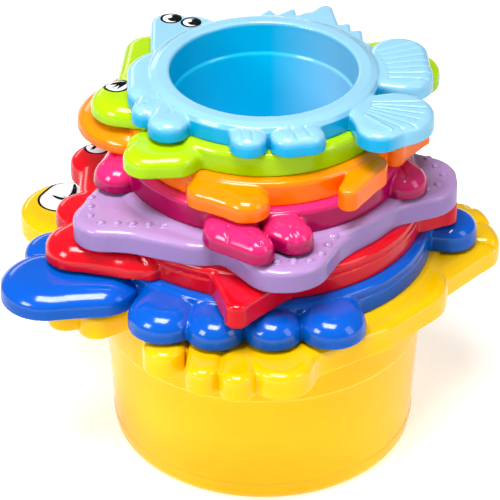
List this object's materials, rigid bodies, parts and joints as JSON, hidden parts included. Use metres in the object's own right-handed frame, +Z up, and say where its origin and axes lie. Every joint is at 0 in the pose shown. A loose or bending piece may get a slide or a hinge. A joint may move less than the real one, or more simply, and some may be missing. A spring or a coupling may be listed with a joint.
{
  "type": "nesting bath cup tower",
  "caption": "Tower of nested round bath cups in graded sizes and bright colours, each with a skirted rim shaped like a sea creature.",
  "frame": {"origin": "centre of the flat underside of the largest cup, on the tower's axis", "axes": "+Z up along the axis of all the cups, -Y to the front with the scalloped claws, -X to the side with the heads and eyes"},
  "size_m": [0.138, 0.1247, 0.1142],
  "materials": {
    "yellow_plastic": "gloss",
    "blue_plastic": "gloss",
    "red_plastic": "gloss",
    "lilac_plastic": "gloss",
    "pink_plastic": "gloss",
    "orange_plastic": "gloss",
    "green_plastic": "gloss",
    "aqua_plastic": "gloss",
    "eye_white_ink": "gloss",
    "eye_black_ink": "gloss"
  },
  "bodies": {
    "yellow_cup": {"cup_yellow": "yellow_plastic", "yellow_eye_white": "eye_white_ink", "yellow_eye_ring": "eye_black_ink", "yellow_eye_pupil": "eye_black_ink"},
    "blue_cup": {"cup_blue": "blue_plastic"},
    "red_cup": {"cup_red": "red_plastic", "red_eye_white": "eye_white_ink", "red_eye_ring": "eye_black_ink", "red_eye_pupil": "eye_black_ink"},
    "lilac_cup": {"cup_lilac": "lilac_plastic"},
    "pink_cup": {"cup_pink": "pink_plastic"},
    "orange_cup": {"cup_orange": "orange_plastic"},
    "green_cup": {"cup_green": "green_plastic", "green_eye_white": "eye_white_ink", "green_eye_ring": "eye_black_ink", "green_eye_pupil": "eye_black_ink"},
    "aqua_cup": {"cup_aqua": "aqua_plastic", "aqua_eye_outer_white": "eye_white_ink", "aqua_eye_outer_ring": "eye_black_ink", "aqua_eye_outer_pupil": "eye_black_ink", "aqua_eye_inner_white": "eye_white_ink", "aqua_eye_inner_ring": "eye_black_ink", "aqua_eye_inner_pupil": "eye_black_ink"}
  },
  "joints": [
    {"name": "lift_blue_cup", "type": "slide", "parent": "yellow_cup", "child": "blue_cup", "axis": [0, 0, 1], "range_m": [0, 0.055]},
    {"name": "lift_red_cup", "type": "slide", "parent": "blue_cup", "child": "red_cup", "axis": [0, 0, 1], "range_m": [0, 0.055]},
    {"name": "lift_lilac_cup", "type": "slide", "parent": "red_cup", "child": "lilac_cup", "axis": [0, 0, 1], "range_m": [0, 0.055]},
    {"name": "lift_pink_cup", "type": "slide", "parent": "lilac_cup", "child": "pink_cup", "axis": [0, 0, 1], "range_m": [0, 0.055]},
    {"name": "lift_orange_cup", "type": "slide", "parent": "pink_cup", "child": "orange_cup", "axis": [0, 0, 1], "range_m": [0, 0.055]},
    {"name": "lift_green_cup", "type": "slide", "parent": "orange_cup", "child": "green_cup", "axis": [0, 0, 1], "range_m": [0, 0.055]},
    {"name": "lift_aqua_cup", "type": "slide", "parent": "green_cup", "child": "aqua_cup", "axis": [0, 0, 1], "range_m": [0, 0.055]}
  ]
}
